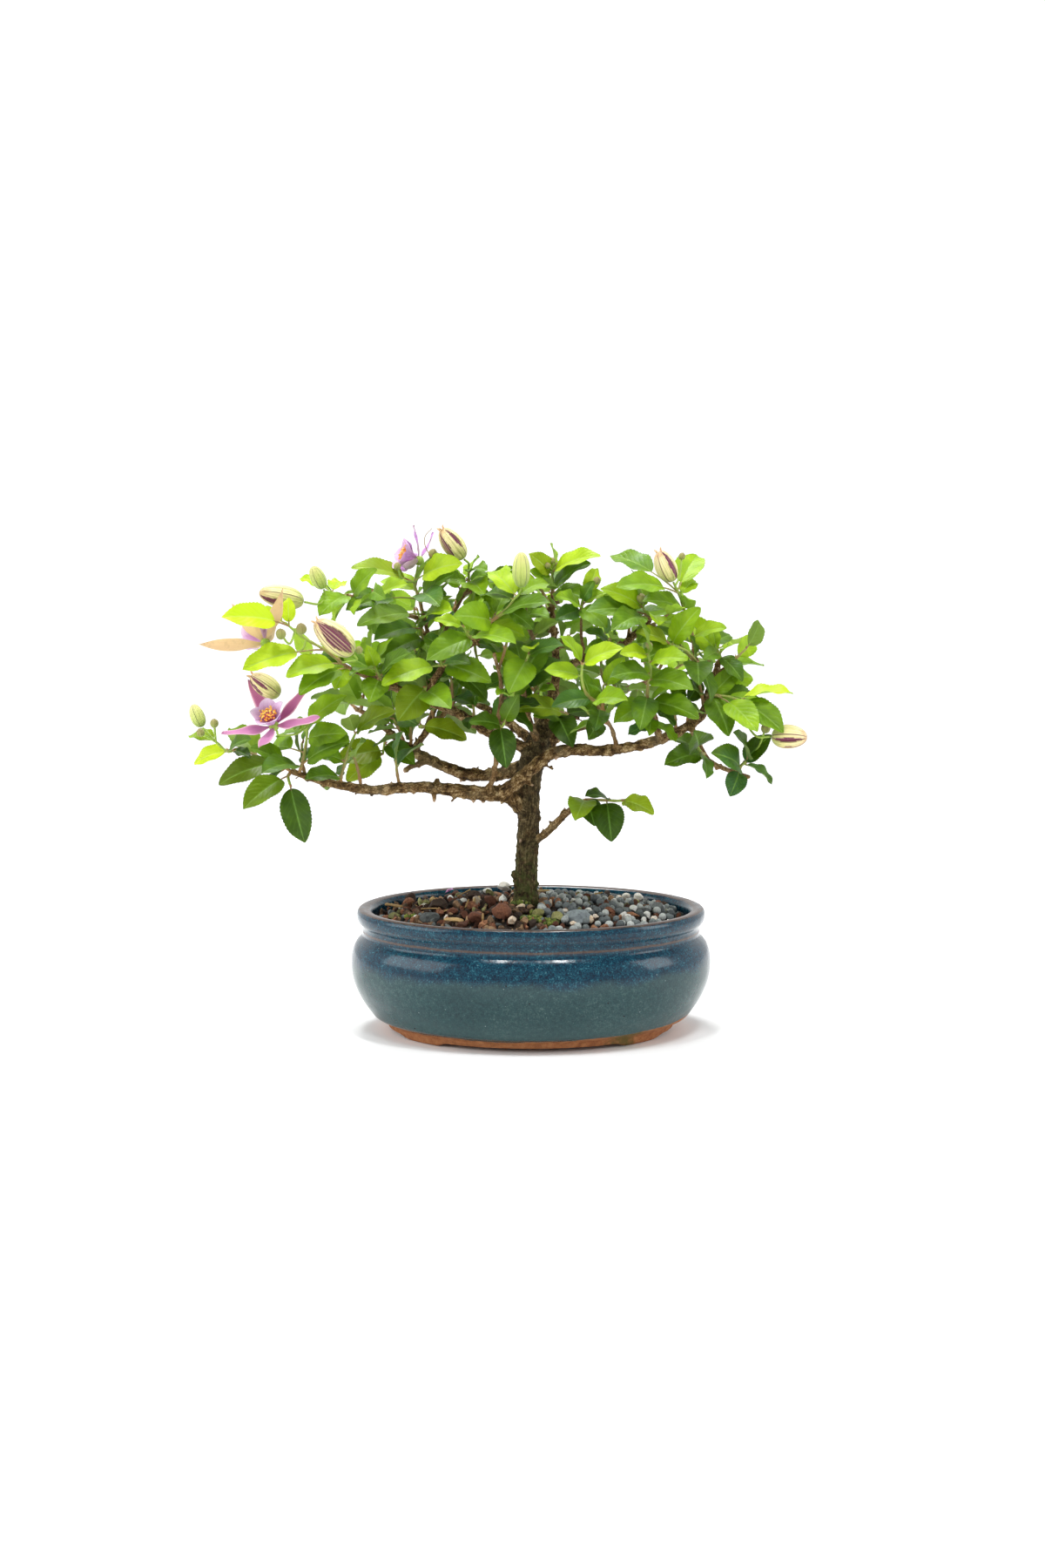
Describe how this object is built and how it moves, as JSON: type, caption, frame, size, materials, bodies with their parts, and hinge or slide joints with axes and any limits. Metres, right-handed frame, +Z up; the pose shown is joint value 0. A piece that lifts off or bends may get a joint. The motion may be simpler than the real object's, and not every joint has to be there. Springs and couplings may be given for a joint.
{
  "type": "flowering bonsai in pot",
  "caption": "Small flowering bonsai with a spreading leafy crown, lilac star flowers and striped buds, standing in an oval glazed ceramic pot with gravelly soil.",
  "frame": {"origin": "on the table below the middle of the whole plant's bounding box", "axes": "+X to the right along the long side of the pot and crown, +Y to the back, +Z up"},
  "size_m": [0.2532, 0.1266, 0.213],
  "materials": {
    "glaze": "glossy teal blue glaze with darker speckles, brown where it breaks on edges, bare clay foot",
    "soil": "loose mix of bark, red lava, pumice and grey beads",
    "stone": "rough grey stone",
    "bark": "rough brown bark",
    "leaf": "fresh green leaves with a soft sheen and toothed edges",
    "bud": "matt downy buds, cream with green and purple stripes",
    "petal": "soft lilac petals",
    "stamen": "orange anthers on pink filaments"
  },
  "bodies": {
    "root": {"pot": "glaze", "soil": "soil", "stone": "stone", "trunk_and_branches": "bark", "spray_left_end": "leaf", "spray_left_hanging": "leaf", "spray_left_rise": "leaf", "spray_left_shoot": "leaf", "spray_low_light": "leaf", "spray_flower_shoot": "leaf", "spray_bud_shoot": "leaf", "spray_leader_top": "leaf", "spray_leader_low": "leaf", "spray_crown_left": "leaf", "spray_front_low": "leaf", "spray_front_mid": "leaf", "spray_front_top": "leaf", "spray_front_hanging": "leaf", "spray_mid_left_a": "leaf", "spray_mid_left_b": "leaf", "spray_fork_leaf": "leaf", "spray_centre_top": "leaf", "spray_top_buds": "leaf", "spray_top_leaves": "leaf", "spray_right_crown_a": "leaf", "spray_bud_stem_right": "leaf", "spray_right_crown_b": "leaf", "spray_right_tip": "leaf", "spray_right_side": "leaf", "spray_right_low_a": "leaf", "spray_right_low_b": "leaf", "spray_right_front": "leaf", "spray_right_front_low": "leaf", "spray_head_front": "leaf", "spray_head_top": "leaf", "spray_sprout_leaves": "leaf", "spray_back_left_a": "leaf", "spray_back_left_b": "leaf", "spray_back_left_c": "leaf", "spray_back_top": "leaf", "spray_back_mid": "leaf", "spray_back_right_a": "leaf", "spray_back_right_b": "leaf", "spray_back_right_c": "leaf", "spray_back_side": "leaf", "bud_top": "bud", "bud_centre": "bud", "bud_right": "bud", "bud_left": "bud", "bud_left_high": "bud", "bud_green": "bud", "bud_right_low": "bud", "bud_left_end": "bud", "flower_open": "petal", "flower_back": "petal", "flower_top": "petal", "flower_open_stamens": "stamen", "flower_back_stamens": "stamen", "flower_top_stamens": "stamen"}
  },
  "joints": []
}
